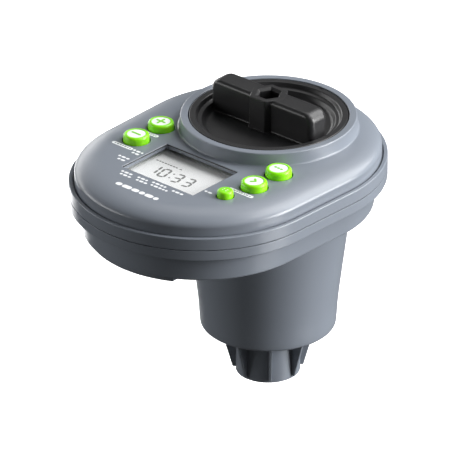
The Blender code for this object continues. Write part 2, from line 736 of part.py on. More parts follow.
# ---------------------------------------------------------------- assembly

def build():
    clear_scene()
    housing = material("housing_plastic", (0.24, 0.26, 0.29), 0.42)
    cap_black = material("cap_plastic", (0.022, 0.022, 0.022), 0.48)
    green = material("button_green", (0.16, 0.72, 0.01), 0.35)
    white = material("button_white", (0.80, 0.82, 0.80), 0.45)
    clear = material("window_clear", (0.85, 0.87, 0.87), 0.08, 0.0, 0.35)
    lcd_grey = material("lcd_glass", (0.66, 0.68, 0.67), 0.25)
    rubber = material("black_rubber", (0.03, 0.03, 0.03), 0.7)
    board_green = material("board_green", (0.02, 0.17, 0.07), 0.45)
    dark = material("dark_plastic", (0.05, 0.05, 0.055), 0.5)
    steel = material("steel", (0.55, 0.56, 0.57), 0.32, 1.0)
    brass = material("brass", (0.72, 0.52, 0.24), 0.3, 1.0)
    copper = material("copper_wire", (0.62, 0.27, 0.11), 0.4, 1.0)
    jacket = material("cell_jacket", (0.10, 0.13, 0.30), 0.35)
    red = material("lead_red", (0.55, 0.03, 0.02), 0.5)

    upper_housing(housing)
    lower_housing(housing)
    cup_housing(housing)
    housing_seal(rubber)
    housing_screws(steel)
    battery_cap(cap_black)
    cap_seal(rubber)
    buttons(green, white, rubber)
    display(clear, lcd_grey, dark, rubber)
    circuit_board(board_green)
    board_parts(dark, steel, white)
    battery_holder(dark)
    cells(jacket)
    contact_plates(steel)
    cell_springs(steel)
    solenoid(steel, dark, copper, dark, brass, rubber)
    leads(red, dark)


build()
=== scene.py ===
import math

import bmesh
import bpy
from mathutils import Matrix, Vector


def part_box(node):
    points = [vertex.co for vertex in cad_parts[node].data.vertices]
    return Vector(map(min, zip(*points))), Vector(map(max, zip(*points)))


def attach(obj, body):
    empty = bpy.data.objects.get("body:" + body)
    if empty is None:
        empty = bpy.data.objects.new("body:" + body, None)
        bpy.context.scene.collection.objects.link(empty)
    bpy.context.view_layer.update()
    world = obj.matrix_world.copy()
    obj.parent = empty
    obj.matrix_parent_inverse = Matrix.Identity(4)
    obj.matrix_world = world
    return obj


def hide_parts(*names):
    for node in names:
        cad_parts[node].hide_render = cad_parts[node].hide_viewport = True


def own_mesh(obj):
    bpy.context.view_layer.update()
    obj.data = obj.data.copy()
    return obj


# Looks of the irrigation controller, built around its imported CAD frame. Lengths are in
# millimetres until new_piece() turns them into metres.
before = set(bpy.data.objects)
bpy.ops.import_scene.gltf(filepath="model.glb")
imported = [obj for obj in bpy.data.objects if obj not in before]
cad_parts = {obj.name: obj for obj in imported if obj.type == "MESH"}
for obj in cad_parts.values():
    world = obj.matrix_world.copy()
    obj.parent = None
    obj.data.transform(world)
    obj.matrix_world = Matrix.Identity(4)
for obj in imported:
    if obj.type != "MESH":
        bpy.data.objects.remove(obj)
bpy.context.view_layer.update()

MM = 0.001
GAP = 0.3


# ---- places read from the frame

def box_mm(node):
    low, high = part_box(node)
    return low / MM, high / MM


def middle_of(node):
    low, high = box_mm(node)
    return (low + high) / 2


COVER_LOW, COVER_HIGH = box_mm("upper_housing")
TRAY_LOW, TRAY_HIGH = box_mm("lower_housing")
CAP_LOW, CAP_HIGH = box_mm("battery_cap")
LENS_LOW, LENS_HIGH = box_mm("display_window")
PANEL_TOP = box_mm("lcd_panel")[1].z

# Plan outline: two arcs joined by straight sides.
BACK_RADIUS = COVER_HIGH.x
BACK_Y = COVER_HIGH.y - BACK_RADIUS
FRONT_RADIUS = BACK_RADIUS - 0.8
FRONT_Y = COVER_LOW.y + FRONT_RADIUS
SIDE_LEAN = math.asin((BACK_RADIUS - FRONT_RADIUS) / (BACK_Y - FRONT_Y))

# Heights of the housings.
RING_TOP = COVER_HIGH.z
FACE = RING_TOP - 4.9
PARTING = TRAY_HIGH.z + GAP / 2
COVER_BAND_LOW = PARTING + GAP / 2
BAND_TOP = PARTING + 4.7
BAND_BOTTOM = PARTING - 4.1
GROOVE_FLOOR = BAND_TOP - 1.4
TRAY_BOTTOM = TRAY_LOW.z + 2.0
PAD_BOTTOM = TRAY_LOW.z
CUP_BOTTOM = 20.0
CUP_FLOOR = 22.2
WEB_BOTTOM = 16.0
TUBE_BOTTOM = 86.0
WALL = 2.4
SEAM_EDGE = 0.12
BAND_EDGE = 0.36
SHOULDER_DEPTH = 11.5
SHOULDER_RISE = 4.1
DOME_OFFSET = -2.15

# Ring, battery tube and cap.
RING_RADIUS = 32.2
SOCKET_RADIUS = 29.4
TUBE_BORE = 27.2
TUBE_OUTER = 30.2
SEAT = 101.2
CAP_RADIUS = CAP_HIGH.x
CAP_RIM = RING_TOP - 0.1
FLANGE_BOTTOM = 102.7
SKIRT_RADIUS = 26.6
SKIRT_BOTTOM = CAP_LOW.z
GRIP_TOP = CAP_HIGH.z - 0.02
BOWL_FLOOR = 101.1

# Display opening, inside the lens's hidden lip.
LENS_LIP = 2.0
WINDOW_HALF_X = (LENS_HIGH.x - LENS_LOW.x) / 2 - LENS_LIP
WINDOW_HALF_Y = (LENS_HIGH.y - LENS_LOW.y) / 2 - LENS_LIP
WINDOW_X = (LENS_HIGH.x + LENS_LOW.x) / 2
WINDOW_Y = (LENS_HIGH.y + LENS_LOW.y) / 2

BUTTON_FLANGE = 1.24
BUTTON_CLEARANCE = 0.34
DISC_RADIUS = 3.4
DISC_CROWN = 0.1
LARGE_BUTTONS = ("button_plus", "button_minus", "button_set", "button_next")
SMALL_BUTTON = "button_mode"
BUTTON_RIM_Z = FACE - WALL - GAP
BUTTON_RIM_DEPTH = 0.7

NECK_RADIUS = 12.0
NECK_BORE = 9.5
GUSSETS = 8
SCREWS = [f"housing_screw_{index}" for index in range(1, 5)]
POST_RADIUS = 3.4
POST_BOTTOM = 84.6
BOSS_TOP = 84.3
SCREW_HOLE = 1.75
SCREW_SHANK = 1.1

# Printing on the face.
INK_Z = FACE + 0.005
INK_DEPTH = 0.02
LABEL_HEIGHT = 1.05
BRAND_HEIGHT = 2.1
PATCH_HEIGHT = 1.75
PATCH_MARK_HEIGHT = 0.62

ARC_STEPS = 72
ROUND = 144
SMALL_ROUND = 64
SCREW_ROUND = 32


# ---- outlines

def rounded(corners, steps=5):
    """Open outline from (a, b, radius) corners; every corner but the ends gets an arc."""
    points = []
    last = len(corners) - 1
    for index, (a, b, radius) in enumerate(corners):
        if radius == 0 or index in (0, last):
            points.append((a, b))
            continue
        here = Vector((a, b))
        before = (Vector(corners[index - 1][:2]) - here).normalized()
        after = (Vector(corners[index + 1][:2]) - here).normalized()
        opening = before.angle(after)
        centre = here + (before + after).normalized() * radius / math.sin(opening / 2)
        reach = radius / math.tan(opening / 2)
        first = here + before * reach - centre
        final = here + after * reach - centre
        turn = math.pi - opening
        for k in range(steps + 1):
            share = k / steps
            arm = first * math.sin((1 - share) * turn) + final * math.sin(share * turn)
            points.append(tuple(centre + arm / math.sin(turn)))
    return points


def quarter_round(start, depth, rise, steps):
    """(offset, z) points of an elliptic shoulder that starts upright and ends level."""
    offset, z = start
    points = []
    for i in range(1, steps + 1):
        angle = math.pi / 2 * i / steps
        points.append((offset - depth * (1 - math.cos(angle)), z + rise * math.sin(angle)))
    return points


def circle(radius, z, sides, centre=(0.0, 0.0)):
    step = 2 * math.pi / sides
    return [
        (centre[0] + radius * math.cos(i * step), centre[1] + radius * math.sin(i * step), z)
        for i in range(sides)
    ]


def plan_circle(radius, sides, centre):
    return [(x, y) for x, y, _ in circle(radius, 0.0, sides, centre)]


def rounded_rectangle(half_x, half_y, radius, steps=6, centre=(0.0, 0.0)):
    points = []
    for quarter, (sx, sy) in enumerate(((1, 1), (-1, 1), (-1, -1), (1, -1))):
        for i in range(steps + 1):
            angle = math.pi / 2 * (quarter + i / steps)
            x = sx * (half_x - radius) + radius * math.cos(angle)
            y = sy * (half_y - radius) + radius * math.sin(angle)
            points.append((centre[0] + x, centre[1] + y))
    return points


def rounded_hexagon(corner_radius, edge_rounding, steps=4):
    """Hexagon with corners towards +X and -X, its corners rounded."""
    inner = corner_radius - edge_rounding / math.cos(math.radians(30))
    points = []
    for corner in range(6):
        outward = math.radians(60 * corner)
        for i in range(steps + 1):
            angle = outward + math.radians(-30 + 60 * i / steps)
            x = inner * math.cos(outward) + edge_rounding * math.cos(angle)
            y = inner * math.sin(outward) + edge_rounding * math.sin(angle)
            points.append((x, y))
    return points


def plan(offset=0.0, steps=ARC_STEPS):
    """The housing's outline moved outwards by offset: back arc, side, front arc, side."""
    points = []
    for i in range(steps + 1):
        angle = -SIDE_LEAN + (math.pi + 2 * SIDE_LEAN) * i / steps
        radius = BACK_RADIUS + offset
        points.append((radius * math.cos(angle), BACK_Y + radius * math.sin(angle)))
    for i in range(steps + 1):
        angle = math.pi + SIDE_LEAN + (math.pi - 2 * SIDE_LEAN) * i / steps
        radius = FRONT_RADIUS + offset
        points.append((radius * math.cos(angle), FRONT_Y + radius * math.sin(angle)))
    return points


def plan_offset(x, y):
    """How far a point lies outside (+) or inside (-) the housing's outline, towards the back."""
    if math.atan2(y - BACK_Y, abs(x)) >= -SIDE_LEAN:
        return math.hypot(x, y - BACK_Y) - BACK_RADIUS
    across = abs(x) * math.cos(SIDE_LEAN) - (y - BACK_Y) * math.sin(SIDE_LEAN)
    return across - BACK_RADIUS


def dome_drop(x, y):
    """How far the cover's surface lies below its flat face at a point."""
    share = (DOME_OFFSET - plan_offset(x, y)) / SHOULDER_DEPTH
    if share >= 1:
        return 0.0
    return SHOULDER_RISE * (1 - math.sqrt(1 - (1 - max(share, 0.0)) ** 2))


# ---- meshes

def loft(loops, closed=False):
    """Skins equal point loops; closed joins the last loop to the first."""
    mesh_data = bmesh.new()
    rows = [[mesh_data.verts.new(point) for point in loop] for loop in loops]
    count = len(rows[0])
    pairs = list(zip(rows, rows[1:]))
    if closed:
        pairs.append((rows[-1], rows[0]))
    for low, high in pairs:
        for i in range(count):
            j = (i + 1) % count
            mesh_data.faces.new((low[i], low[j], high[j], high[i]))
    if not closed:
        mesh_data.faces.new(list(reversed(rows[0])))
        mesh_data.faces.new(rows[-1])
    return mesh_data


def plan_loft(profile, closed=False):
    return loft([[(x, y, z) for x, y in plan(offset)] for offset, z in profile], closed)


def turned(profile, sides=SMALL_ROUND, centre=(0.0, 0.0)):
    """Solid of revolution from (radius, z) points; its first and last points are capped."""
    return loft([circle(radius, z, sides, centre) for radius, z in profile])


def rod(radius, low, high, sides=ROUND, centre=(0.0, 0.0)):
    return turned([(radius, low), (radius, high)], sides, centre)


def turned_ring(profile, sides=SMALL_ROUND, centre=(0.0, 0.0)):
    return loft([circle(radius, z, sides, centre) for radius, z in profile], closed=True)


def outline_loft(rows):
    """Skins (outline, z) rows."""
    return loft([[(x, y, z) for x, y in outline] for outline, z in rows])


def plate(outline, low, high):
    return outline_loft([(outline, low), (outline, high)])


def helix(middle, radius, bottom, top, turns, section, per_turn=48, taper=0.0):
    """Closed spiral ridge or wire; section is (outwards, up) points around its middle line."""
    count = int(turns * per_turn) + 1
    loops = []
    for i in range(count):
        share = i / (count - 1)
        angle = 2 * math.pi * turns * share
        fade = 1.0
        if taper:
            fade = min(1.0, share / taper, (1 - share) / taper) * 0.98 + 0.02
        z = bottom + (top - bottom) * share
        current = radius[0] + (radius[1] - radius[0]) * share
        loops.append([
            (
                middle[0] + (current + out * fade) * math.cos(angle),
                middle[1] + (current + out * fade) * math.sin(angle),
                z + up * fade,
            )
            for out, up in section
        ])
    return loft(loops)


def round_section(radius, sides=10):
    step = 2 * math.pi / sides
    return [(radius * math.cos(i * step), radius * math.sin(i * step)) for i in range(sides)]


def merge(*parts):
    """One bmesh that holds several closed shells."""
    whole = bmesh.new()
    for part in parts:
        mesh = bpy.data.meshes.new("merge")
        part.to_mesh(mesh)
        part.free()
        whole.from_mesh(mesh)
        bpy.data.meshes.remove(mesh)
    return whole


def add_object(name, data):
    item = bpy.data.objects.new(name, data)
    bpy.context.scene.collection.objects.link(item)
    return item


def plain_object(name, mesh_data):
    bmesh.ops.recalc_face_normals(mesh_data, faces=mesh_data.faces)
    for vertex in mesh_data.verts:
        vertex.co = vertex.co * MM
    mesh = bpy.data.meshes.new(name)
    mesh_data.to_mesh(mesh)
    mesh_data.free()
    return add_object(name, mesh)


def new_piece(name, mesh_data, finish, body="housing", replaces=(), steps=(), sharp=30):
    """Makes a riding piece. steps are (operation, mesh) Booleans, applied in their order."""
    item = plain_object(name, mesh_data)
    tools = []
    for index, (operation, tool_mesh) in enumerate(steps):
        tool = plain_object(f"{name}_tool_{index}", tool_mesh)
        tools.append(tool)
        step = item.modifiers.new(f"step_{index}", "BOOLEAN")
        step.operation = operation
        step.solver = "EXACT"
        step.object = tool
    if tools:
        graph = bpy.context.evaluated_depsgraph_get()
        mesh = bpy.data.meshes.new_from_object(item.evaluated_get(graph))
        item.modifiers.clear()
        item.data = mesh
        for tool in tools:
            bpy.data.objects.remove(tool, do_unlink=True)
    item.data.materials.clear()
    item.data.materials.append(finish)
    item.data.shade_smooth()
    item.data.set_sharp_from_angle(angle=math.radians(sharp))
    if tools:
        weighted = item.modifiers.new("normals", "WEIGHTED_NORMAL")
        weighted.keep_sharp = True
    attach(item, body)
    if replaces:
        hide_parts(*replaces)
    return item


# ---- materials

class Nodes:
    """Small helper that adds nodes to a material and links them."""

    def __init__(self, name):
        self.material = bpy.data.materials.new(name)
        self.material.use_nodes = True
        self.tree = self.material.node_tree
        self.shader = self.tree.nodes["Principled BSDF"]
        self.place = self.tree.nodes.new("ShaderNodeTexCoord").outputs["Object"]

    def add(self, kind, settings=None, **inputs):
        node = self.tree.nodes.new(kind)
        for key, value in (settings or {}).items():
            setattr(node, key, value)
        for key, value in inputs.items():
            self.put(node.inputs[key.replace("_", " ")], value)
        return node

    def put(self, socket, value):
        if isinstance(value, bpy.types.NodeSocket):
            self.tree.links.new(value, socket)
        else:
            socket.default_value = value

    def noise(self, scale, detail=2.0, roughness=0.5):
        node = self.add(
            "ShaderNodeTexNoise", None, Vector=self.place, Scale=scale, Detail=detail,
            Roughness=roughness,
        )
        return node.outputs["Fac"]

    def spread(self, value, low, high, start=0.3, end=0.7):
        """Maps a noise value onto the range from low to high."""
        node = self.tree.nodes.new("ShaderNodeMapRange")
        for socket, number in zip(node.inputs, (value, start, end, low, high)):
            self.put(socket, number)
        return node.outputs["Result"]

    def mix(self, share, first, second):
        node = self.tree.nodes.new("ShaderNodeMix")
        node.data_type = "RGBA"
        self.put(node.inputs["Factor"], share)
        colours = [socket for socket in node.inputs if socket.type == "RGBA"]
        for socket, colour in zip(colours, (first, second)):
            self.put(socket, colour if isinstance(colour, bpy.types.NodeSocket) else (*colour, 1.0))
        return [socket for socket in node.outputs if socket.type == "RGBA"][0]

    def bump(self, height, distance, strength, below=None):
        node = self.add("ShaderNodeBump", None, Height=height, Distance=distance, Strength=strength)
        if below is not None:
            self.put(node.inputs["Normal"], below)
        return node.outputs["Normal"]

    def set(self, **inputs):
        for key, value in inputs.items():
            self.put(self.shader.inputs[key.replace("_", " ")], value)


def shade(colour, factor):
    return tuple(channel * factor for channel in colour)


def moulded_plastic(name, colour, roughness, grain=800.0, depth=0.00002, variation=0.05):
    """Moulded plastic: spark-eroded grain, faint flow clouds, gloss that changes a little."""
    nodes = Nodes(name)
    clouds = nodes.noise(28.0, 3.0)
    fine = nodes.noise(grain, 0.0)
    tone = nodes.mix(clouds, shade(colour, 1 - variation), shade(colour, 1 + variation))
    gloss = nodes.spread(nodes.noise(160.0, 2.0), roughness - 0.03, roughness + 0.03, 0.0, 1.0)
    waves = nodes.bump(nodes.noise(45.0, 0.0), 0.0004, 0.04)
    nodes.set(
        Base_Color=tone, Roughness=gloss, Specular_IOR_Level=0.5,
        Normal=nodes.bump(fine, depth, 0.04, waves),
    )
    return nodes.material


def rubber(name, colour, roughness):
    """Soft rubber: matt, with a dusty bloom and a fine pebble."""
    nodes = Nodes(name)
    bloom = nodes.spread(nodes.noise(90.0, 4.0, 0.6), 0.0, 0.35)
    pebble = nodes.noise(2600.0, 2.0)
    nodes.set(
        Base_Color=nodes.mix(bloom, colour, shade(colour, 2.4)),
        Roughness=nodes.spread(pebble, roughness - 0.08, roughness + 0.06),
        Normal=nodes.bump(pebble, 0.00003, 0.4),
    )
    return nodes.material


def metal(name, colour, roughness, stretch=(1.0, 1.0, 14.0), blotch=0.12):
    """Metal: drawn or rolled streaks in its gloss and a little tarnish in its colour."""
    nodes = Nodes(name)
    scaled = nodes.add("ShaderNodeMapping", None, Vector=nodes.place, Scale=stretch)
    streak = nodes.add(
        "ShaderNodeTexNoise", None, Vector=scaled.outputs["Vector"], Scale=260.0, Detail=3.0
    ).outputs["Fac"]
    tarnish = nodes.spread(nodes.noise(120.0, 4.0, 0.65), 0.0, 1.0)
    nodes.set(
        Base_Color=nodes.mix(tarnish, shade(colour, 1 - blotch), shade(colour, 1 + blotch * 0.5)),
        Metallic=1.0,
        Roughness=nodes.spread(streak, roughness - 0.07, roughness + 0.12),
        Normal=nodes.bump(streak, 0.00002, 0.25),
    )
    return nodes.material


def button_plastic(name, colour, deep):
    """Glossy translucent green: light scatters a little, so edges look deeper in colour."""
    nodes = Nodes(name)
    fine = nodes.noise(2400.0, 1.0)
    nodes.set(
        Base_Color=nodes.mix(nodes.spread(nodes.noise(160.0, 3.0), 0.0, 0.35), colour, deep),
        Roughness=nodes.spread(nodes.noise(500.0, 2.0), 0.29, 0.36),
        Subsurface_Weight=0.25, Subsurface_Radius=(0.0008, 0.0012, 0.0002), Subsurface_Scale=1.0,
        Specular_IOR_Level=0.5, Normal=nodes.bump(fine, 0.00001, 0.2),
    )
    return nodes.material


def lens_plastic(name):
    """Clear acrylic: nearly invisible, with faint moulding haze and a glossy face."""
    nodes = Nodes(name)
    haze = nodes.noise(60.0, 3.0)
    nodes.set(
        Base_Color=nodes.mix(nodes.spread(haze, 0.0, 1.0), (0.86, 0.88, 0.88), (0.92, 0.93, 0.93)),
        Roughness=nodes.spread(nodes.noise(400.0, 2.0), 0.03, 0.07),
        Alpha=0.06, Specular_IOR_Level=0.6, Normal=nodes.bump(haze, 0.0001, 0.05),
    )
    return nodes.material


def lcd_glass(name):
    """Reflective liquid crystal panel: pale grey, with a fine pixel screen and soft clouds."""
    nodes = Nodes(name)
    clouds = nodes.spread(nodes.noise(55.0, 2.0), 0.0, 1.0)
    screen = nodes.add(
        "ShaderNodeTexVoronoi", None, Vector=nodes.place, Scale=5200.0
    ).outputs["Distance"]
    base = nodes.mix(clouds, (0.80, 0.81, 0.81), (0.87, 0.88, 0.88))
    nodes.set(
        Base_Color=nodes.mix(nodes.spread(screen, 0.0, 0.12, 0.0, 0.8), base, (0.55, 0.55, 0.55)),
        Roughness=nodes.spread(nodes.noise(700.0, 2.0), 0.30, 0.42),
        Normal=nodes.bump(screen, 0.00001, 0.15),
    )
    return nodes.material


def printed_ink(name, colour, roughness):
    """Pad-printed ink: slightly uneven cover and a matt film."""
    nodes = Nodes(name)
    cover = nodes.spread(nodes.noise(1400.0, 3.0, 0.6), 0.0, 0.3)
    nodes.set(
        Base_Color=nodes.mix(cover, colour, shade(colour, 0.72)),
        Roughness=nodes.spread(nodes.noise(900.0, 2.0), roughness - 0.06, roughness + 0.08),
        Normal=nodes.bump(nodes.noise(3000.0, 1.0), 0.00001, 0.3),
    )
    return nodes.material


def board_lacquer(name):
    """Green solder resist with faint copper tracks below it."""
    nodes = Nodes(name)
    tracks = nodes.add(
        "ShaderNodeTexVoronoi", {"feature": "DISTANCE_TO_EDGE"}, Vector=nodes.place, Scale=240.0
    ).outputs["Distance"]
    line = nodes.spread(tracks, 1.0, 0.0, 0.03, 0.06)
    weave = nodes.noise(1500.0, 2.0)
    nodes.set(
        Base_Color=nodes.mix(line, (0.012, 0.115, 0.045), (0.03, 0.24, 0.09)),
        Roughness=nodes.spread(weave, 0.29, 0.42),
        Normal=nodes.bump(line, 0.00004, 0.5),
    )
    return nodes.material


def cell_label(name):
    """Plastic sleeve of an AA cell: two printed bands split along its length, slight orange peel."""
    nodes = Nodes(name)
    parts = nodes.add("ShaderNodeSeparateXYZ", None, Vector=nodes.place)
    low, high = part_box("cell_1")
    band = nodes.spread(parts.outputs["Z"], 0.0, 1.0, low.z * 0.28 + high.z * 0.72,
                        low.z * 0.275 + high.z * 0.725)
    nodes.set(
        Base_Color=nodes.mix(band, (0.035, 0.05, 0.12), (0.62, 0.33, 0.10)),
        Metallic=0.35,
        Roughness=nodes.spread(nodes.noise(600.0, 2.0), 0.29, 0.38),
        Normal=nodes.bump(nodes.noise(900.0, 2.0), 0.00003, 0.25),
    )
    return nodes.material


def wound_copper(name):
    """Enamelled magnet wire, its turns seen as fine ridges, with painted shade darkening the grooves
    between them.
    """
    nodes = Nodes(name)
    wave = nodes.add(
        "ShaderNodeTexWave", {"bands_direction": "Z"}, Vector=nodes.place, Scale=1100.0,
        Distortion=0.4,
    ).outputs["Fac"]
    # the colour runs from dark in the grooves to bright on the ridges, following the bump: painted
    # shade between the turns
    nodes.set(
        Base_Color=nodes.mix(wave, (0.24, 0.07, 0.02), (0.62, 0.27, 0.10)), Metallic=1.0,
        Roughness=nodes.spread(nodes.noise(800.0, 2.0), 0.30, 0.42),
        Normal=nodes.bump(wave, 0.00012, 0.8),
    )
    return nodes.material


def lead_insulation(name, colour):
    nodes = Nodes(name)
    ribs = nodes.noise(700.0, 2.0)
    nodes.set(
        Base_Color=nodes.mix(nodes.spread(ribs, 0.0, 0.4), colour, shade(colour, 0.55)),
        Roughness=nodes.spread(nodes.noise(1200.0, 1.0), 0.40, 0.55),
        Normal=nodes.bump(ribs, 0.00003, 0.3),
    )
    return nodes.material


# ---- housings

def screw_places():
    return [tuple(middle_of(name)[:2]) for name in SCREWS]


def cover_shell(finish):
    """Upper housing: band, shoulder, flat face, ring, battery tube, screw posts and openings."""
    roof = FACE - WALL
    low = COVER_BAND_LOW
    foot = (DOME_OFFSET, FACE - SHOULDER_RISE)
    eave = (-4.7, roof - 2.6)
    outer = rounded([
        (-WALL, low, 0), (0.0, low, SEAM_EDGE), (0.0, BAND_TOP, BAND_EDGE),
        (-1.5, BAND_TOP, 0.12), (-1.55, GROOVE_FLOOR, 0.1), (-2.12, GROOVE_FLOOR, 0.1), (*foot, 0),
    ])
    outer += quarter_round(foot, SHOULDER_DEPTH, SHOULDER_RISE, 22)
    inner = [(-WALL, low + 1.9), (-4.6, low + 2.5), eave, *quarter_round(eave, 9.5, 2.6, 8)]
    body = plan_loft(list(reversed(inner)) + outer)

    steps = [("DIFFERENCE", rod(TUBE_BORE + 1.5, 95.0, 104.0)), ("UNION", collar())]
    steps += [("UNION", rod(POST_RADIUS, POST_BOTTOM, FACE - 1.5, SCREW_ROUND, place))
              for place in screw_places()]
    steps += [("DIFFERENCE", rod(SCREW_HOLE, 80.0, 96.0, SCREW_ROUND, place))
              for place in screw_places()]
    pocket = window_outline(LENS_LIP + 0.4)
    steps.append(("DIFFERENCE", plate(pocket, 90.0, LENS_HIGH.z + GAP)))
    steps.append(("DIFFERENCE", flared_hole(lambda out: window_outline(out, 0.35 + out), 0.25)))
    for name in (*LARGE_BUTTONS, SMALL_BUTTON):
        centre, radius = button_place(name)

        def outline(out, centre=centre, wide=radius + BUTTON_CLEARANCE):
            return plan_circle(wide + out, SMALL_ROUND, centre)
        steps.append(("DIFFERENCE", flared_hole(outline, 0.2)))
    new_piece("cover_shell", body, finish, replaces=["upper_housing"],
              steps=steps, sharp=24)


def collar():
    """Raised ring with the battery tube below it; its foot fillet follows the cover's shoulder."""
    fillet = 0.7
    foot = RING_RADIUS + 0.45
    inside = rounded([
        (TUBE_BORE, TUBE_BOTTOM, 0), (TUBE_BORE, SEAT, 0.15), (SOCKET_RADIUS, SEAT, 0.15),
        (SOCKET_RADIUS, RING_TOP, 0.22), (RING_RADIUS, RING_TOP, 0.5), (foot, FACE + fillet, 0),
    ], 6)
    loops = [circle(radius, z, ROUND) for radius, z in inside[:-1]]
    flare = []
    for k in range(9):
        angle = math.radians(84) * k / 8
        flare.append((foot + fillet * (1 - math.cos(angle)), fillet * (1 - math.sin(angle))))
    flare.append((flare[-1][0] + 0.05, -1.5))
    for radius, rise in flare:
        ring = plan_circle(radius, ROUND, (0.0, 0.0))
        loops.append([(x, y, FACE - dome_drop(x, y) + rise) for x, y in ring])
    loops.append(circle(TUBE_OUTER, FACE - 2.6, ROUND))
    loops.append(circle(TUBE_OUTER, TUBE_BOTTOM, ROUND))
    return loft(loops, closed=True)


def window_outline(out=0.0, corner=0.3):
    return rounded_rectangle(
        WINDOW_HALF_X + out, WINDOW_HALF_Y + out, corner, 6, (WINDOW_X, WINDOW_Y)
    )


def flared_hole(outline, lip):
    """Cutter through the face whose mouth widens in a small round lip; outline(out) gives it."""
    rows = [(outline(0.0), 93.0)]
    for k in range(7):
        angle = math.radians(80) * k / 6
        rows.append((outline(lip * (1 - math.cos(angle))), FACE - lip * (1 - math.sin(angle))))
    rows.append((outline(lip * 0.95), FACE + 1.0))
    return outline_loft(rows)


def button_place(name):
    """Centre in plan and visible radius of a button."""
    low, high = box_mm(name)
    centre = ((low.x + high.x) / 2, (low.y + high.y) / 2)
    return centre, (high.x - low.x) / 2 - BUTTON_FLANGE


CUP_HOLE = 31.6
PAD_EDGE = 0.9
PAD_HALF_WIDTH = 19.5
PAD_FRONT_RADIUS = 41.6
PAD_BACK_Y = -58.0


def pad_outline(inset):
    """Pad under the display end: a front arc concentric with the housing, a straight back."""
    half = PAD_HALF_WIDTH - inset
    radius = PAD_FRONT_RADIUS - inset
    spread = math.asin(half / radius)
    corner = 1.0
    points = []
    for i in range(25):
        angle = -math.pi / 2 - spread + 2 * spread * i / 24
        points.append((radius * math.cos(angle), FRONT_Y + radius * math.sin(angle)))
    for sx, quarter in ((1, 0), (-1, 1)):
        for i in range(5):
            angle = math.pi / 2 * (quarter + i / 4)
            x = sx * (half - corner) + corner * math.cos(angle)
            y = PAD_BACK_Y - inset - corner + corner * math.sin(angle)
            points.append((x, y))
    return points


def tray_shell(finish):
    """Lower housing: band, inset tray with a rounded foot, pad, screw bosses, hole for the cup."""
    top = PARTING - GAP / 2
    outer = rounded([
        (-WALL, top, 0), (0.0, top, SEAM_EDGE), (0.0, BAND_BOTTOM, BAND_EDGE),
        (-4.2, BAND_BOTTOM, 0.5), (-4.75, TRAY_BOTTOM, 0.75), (-9.0, TRAY_BOTTOM, 0),
    ])
    inner = [(-WALL, 86.6), (-6.6, 86.2), (-7.0, TRAY_BOTTOM + WALL)]
    body = plan_loft(list(reversed(outer)) + inner)
    rows = [(pad_outline(0.0), 75.0)]
    for k in range(6):
        angle = math.pi / 2 * k / 5
        inset = PAD_EDGE * (1 - math.cos(angle))
        rows.append((pad_outline(inset), PAD_BOTTOM + PAD_EDGE * (1 - math.sin(angle))))
    steps = [("UNION", outline_loft(rows))]
    steps += [("UNION", rod(POST_RADIUS, 75.0, BOSS_TOP, SCREW_ROUND, place))
              for place in screw_places()]
    steps.append(("DIFFERENCE", rod(CUP_HOLE, 70.0, 80.0)))
    hole = [(3.4, 70.0), (3.4, 73.9), (3.1, 74.15), (3.1, 76.7), (SCREW_HOLE, 76.7),
            (SCREW_HOLE, 90.0)]
    steps += [("DIFFERENCE", turned(hole, SCREW_ROUND, place)) for place in screw_places()]
    new_piece("tray_shell", body, finish, replaces=["lower_housing"],
              steps=steps, sharp=24)


def smooth_curve(route, count):
    """Catmull-Rom curve through two-dimensional points."""
    nodes = [Vector(point) for point in route]
    nodes = [nodes[0] * 2 - nodes[1]] + nodes + [nodes[-1] * 2 - nodes[-2]]
    spans = len(nodes) - 3
    points = []
    for i in range(count):
        position = spans * i / (count - 1)
        span = min(int(position), spans - 1)
        t = position - span
        a, b, c, d = nodes[span:span + 4]
        points.append(tuple(
            0.5 * (2 * b + (c - a) * t + (2 * a - 5 * b + 4 * c - d) * t ** 2
                   + (3 * b - a - 3 * c + d) * t ** 3)
        ))
    return points


def gusset(angle):
    """Web between the neck and the cup's floor, its outer edge rounded."""
    half = 0.5
    edge = rounded([
        (NECK_RADIUS - 1.0, 1.2, 0), (13.15, 1.2, 0.45), (18.6, CUP_BOTTOM + 0.8, 0),
    ])
    across_steps = ((-1.0, 0.16), (-0.7, 0.0), (0.7, 0.0), (1.0, 0.16))
    direction = Vector((math.cos(angle), math.sin(angle), 0.0))
    side = Vector((-direction.y, direction.x, 0.0))
    loops = []
    for share, inset in across_steps:
        loop = [
            direction * (r - (inset if r > NECK_RADIUS else 0.0)) + side * half * share
            + Vector((0, 0, z + (inset if z < CUP_BOTTOM else 0.0)))
            for r, z in edge
        ]
        loop.append(direction * (NECK_RADIUS - 1.0) + side * half * share
                    + Vector((0, 0, CUP_BOTTOM + 0.8)))
        loops.append(loop)
    return loft(loops)


